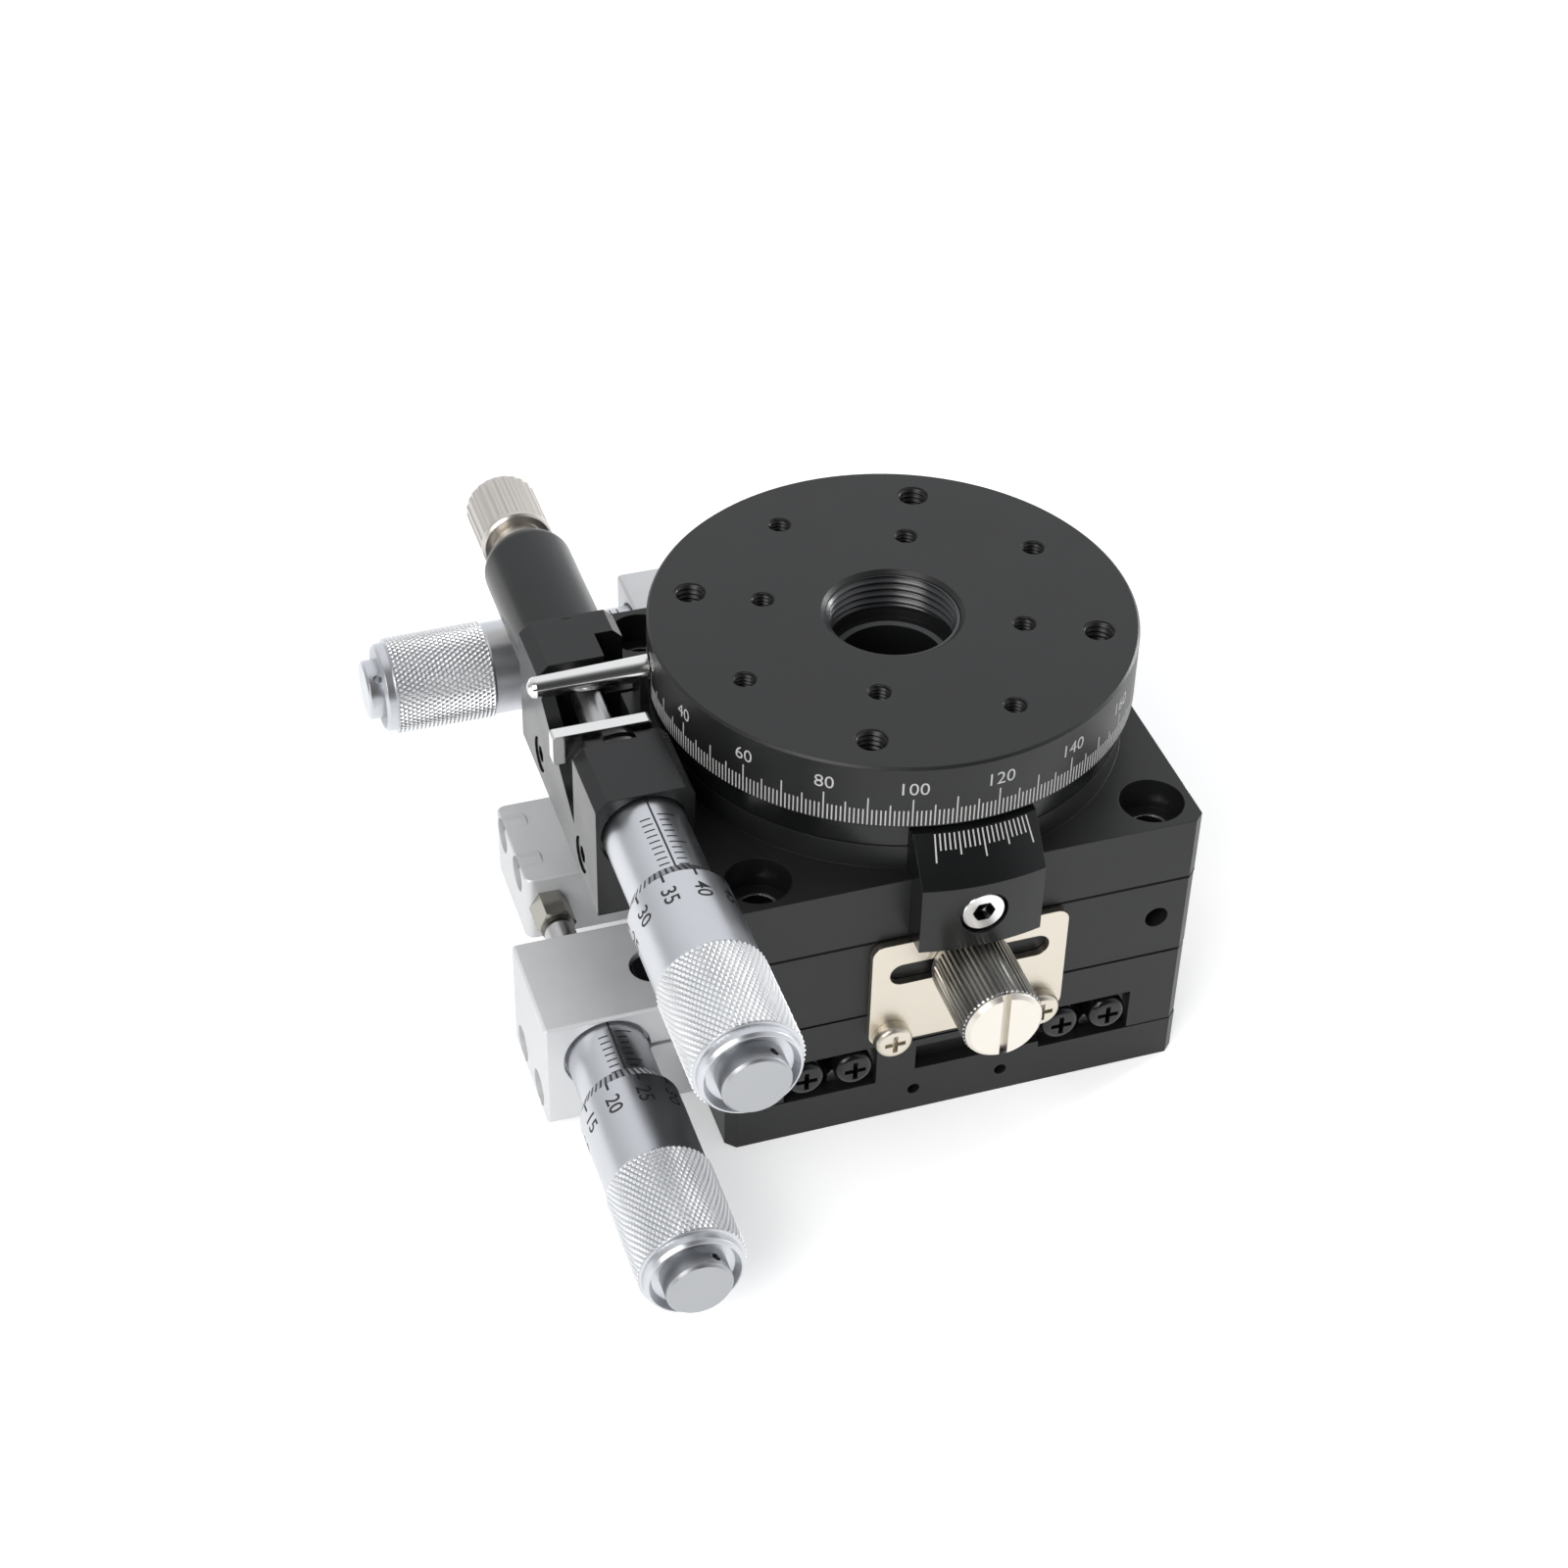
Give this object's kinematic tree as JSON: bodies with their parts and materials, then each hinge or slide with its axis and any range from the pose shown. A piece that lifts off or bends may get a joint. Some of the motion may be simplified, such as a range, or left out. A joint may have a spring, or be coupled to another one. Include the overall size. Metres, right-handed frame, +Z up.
{
  "type": "rotation stage",
  "caption": "Square linear stages with micrometer heads under a graduated rotary table, whose fine turn is a micrometer against a sprung lever.",
  "frame": {"origin": "centre of the base plate's underside", "axes": "+Z up along the table's axis, +Y the way the lower micrometer pushes its carriage, +X the way the upper one does"},
  "size_m": [0.1014, 0.1138, 0.055],
  "materials": {
    "black_anodised": "satin black anodised",
    "clear_anodised": "bead blasted, clear anodised",
    "satin_chrome": "satin chrome plated",
    "nickel": "bright nickel plated",
    "ground_steel": "ground",
    "black_steel": "black oxide",
    "bright_steel": "bright zinc plated",
    "brass": "plain"
  },
  "bodies": {
    "base": {"base_plate": "black_anodised", "y_inner_rails": "ground_steel", "y_inner_rail_end_screws": "black_steel", "y_micrometer_bracket": "clear_anodised", "y_bracket_screws": "black_steel", "y_clamp_screw": "black_steel", "y_sleeve": "satin_chrome", "y_lock_plate": "nickel", "y_lock_plate_screws": "nickel"},
    "y_carriage": {"middle_plate": "black_anodised", "y_outer_rails": "ground_steel", "x_inner_rails": "ground_steel", "middle_rail_end_screws": "black_steel", "y_anvil_bracket": "clear_anodised", "y_anvil_screw": "nickel", "middle_side_screws": "black_steel", "x_micrometer_bracket": "clear_anodised", "x_clamp_screw": "black_steel", "x_sleeve": "satin_chrome", "x_lock_plate": "nickel", "x_lock_plate_screws": "nickel"},
    "x_carriage": {"upper_plate": "black_anodised", "x_outer_rails": "ground_steel", "x_outer_rail_end_screws": "black_steel", "x_anvil_bracket": "clear_anodised", "x_anvil_screw": "nickel", "rotation_base": "black_anodised", "rotary_cap_screws": "bright_steel", "upper_side_screws": "black_steel", "bearing_outer_ring": "ground_steel", "vernier_block": "black_anodised", "rotation_bracket": "black_anodised", "r_clamp_nut": "nickel", "r_sleeve": "satin_chrome"},
    "lever": {"swing_lever": "black_anodised", "contact_plate": "nickel", "arm_pin": "nickel"},
    "table": {"rotary_table": "black_anodised", "bearing_inner_ring": "ground_steel"},
    "race_rollers": {"bearing_rollers": "ground_steel"},
    "plunger_body": {"plunger": "nickel"},
    "knob": {"plunger_knob": "nickel"},
    "x_lock": {"x_lock_screw": "nickel"},
    "y_lock": {"y_lock_screw": "nickel"},
    "x_way_rollers": {"x_roller_cages": "brass", "x_rollers": "ground_steel"},
    "y_way_rollers": {"y_roller_cages": "brass", "y_rollers": "ground_steel"},
    "x_feed": {"x_spindle": "ground_steel"},
    "x_drum": {"x_thimble": "satin_chrome", "x_thimble_cap": "satin_chrome"},
    "y_feed": {"y_spindle": "ground_steel"},
    "y_drum": {"y_thimble": "satin_chrome", "y_thimble_cap": "satin_chrome"},
    "r_feed": {"r_spindle": "ground_steel"},
    "r_drum": {"r_thimble": "satin_chrome", "r_thimble_cap": "satin_chrome"}
  },
  "joints": [
    {"name": "y_slide", "type": "slide", "parent": "base", "child": "y_carriage", "axis": [0, 1, 0], "range_m": [-0.0065, 0.0065]},
    {"name": "x_slide", "type": "slide", "parent": "y_carriage", "child": "x_carriage", "axis": [1, 0, 0], "range_m": [-0.0065, 0.0049]},
    {"name": "y_spindle_feed", "type": "slide", "parent": "base", "child": "y_feed", "axis": [0, 1, 0], "range_m": [-0.0065, 0.0065]},
    {"name": "x_spindle_feed", "type": "slide", "parent": "y_carriage", "child": "x_feed", "axis": [1, 0, 0], "range_m": [-0.0065, 0.0049]},
    {"name": "r_spindle_feed", "type": "slide", "parent": "x_carriage", "child": "r_feed", "axis": [0, 1, 0], "range_m": [-0.00038, 0.00583]},
    {"name": "y_thimble_turn", "type": "hinge", "parent": "y_feed", "child": "y_drum", "pos_m": [-0.0426, -0.04, 0.0118], "axis": [0, 1, 0], "range_deg": [-4681, 4681]},
    {"name": "x_thimble_turn", "type": "hinge", "parent": "x_feed", "child": "x_drum", "pos_m": [-0.04, 0.0426, 0.0238], "axis": [1, 0, 0], "range_deg": [-4681, 3529]},
    {"name": "r_thimble_turn", "type": "hinge", "parent": "r_feed", "child": "r_drum", "pos_m": [-0.0363, -0.04, 0.0426], "axis": [0, 1, 0], "range_deg": [-273, 4197]},
    {"name": "lever_swing", "type": "hinge", "parent": "x_carriage", "child": "lever", "pos_m": [0, 0, 0.0442], "axis": [0, 0, 1], "range_deg": [-9.21, 0.6]},
    {"name": "table_spin", "type": "hinge", "parent": "lever", "child": "table", "pos_m": [0, 0, 0.0505], "axis": [0, 0, 1], "continuous": true},
    {"name": "race_roll", "type": "hinge", "parent": "x_carriage", "child": "race_rollers", "pos_m": [0, 0, 0.036], "axis": [0, 0, 1], "continuous": true},
    {"name": "plunger_slide", "type": "slide", "parent": "x_carriage", "child": "plunger_body", "axis": [0, 1, 0], "range_m": [-0.00038, 0.00583]},
    {"name": "knob_turn", "type": "hinge", "parent": "x_carriage", "child": "knob", "pos_m": [-0.0363, 0.048, 0.0426], "axis": [0, 1, 0], "range_deg": [-180, 180]},
    {"name": "x_lock_turn", "type": "hinge", "parent": "x_carriage", "child": "x_lock", "pos_m": [0, -0.037, 0.0248], "axis": [0, -1, 0], "range_deg": [-180, 180]},
    {"name": "y_lock_turn", "type": "hinge", "parent": "y_carriage", "child": "y_lock", "pos_m": [0.037, 0, 0.0128], "axis": [1, 0, 0], "range_deg": [-180, 180]},
    {"name": "y_rollers_roll", "type": "slide", "parent": "base", "child": "y_way_rollers", "axis": [0, 1, 0], "range_m": [-0.00325, 0.00325]},
    {"name": "x_rollers_roll", "type": "slide", "parent": "y_carriage", "child": "x_way_rollers", "axis": [1, 0, 0], "range_m": [-0.00325, 0.00245]}
  ],
  "couplings": [
    {"joint": "y_thimble_turn", "follows": "y_slide", "rad_per_m": 12566},
    {"joint": "y_spindle_feed", "follows": "y_slide", "ratio": 1},
    {"joint": "y_rollers_roll", "follows": "y_slide", "ratio": 0.5},
    {"joint": "x_thimble_turn", "follows": "x_slide", "rad_per_m": 12566},
    {"joint": "x_spindle_feed", "follows": "x_slide", "ratio": 1},
    {"joint": "x_rollers_roll", "follows": "x_slide", "ratio": 0.5},
    {"joint": "r_spindle_feed", "follows": "r_thimble_turn", "m_per_rad": 0.000079577},
    {"joint": "plunger_slide", "follows": "r_thimble_turn", "m_per_rad": 0.000079577},
    {"joint": "lever_swing", "follows": "r_thimble_turn", "ratio": -0.0021922},
    {"joint": "race_roll", "follows": "table_spin", "ratio": 0.5}
  ]
}
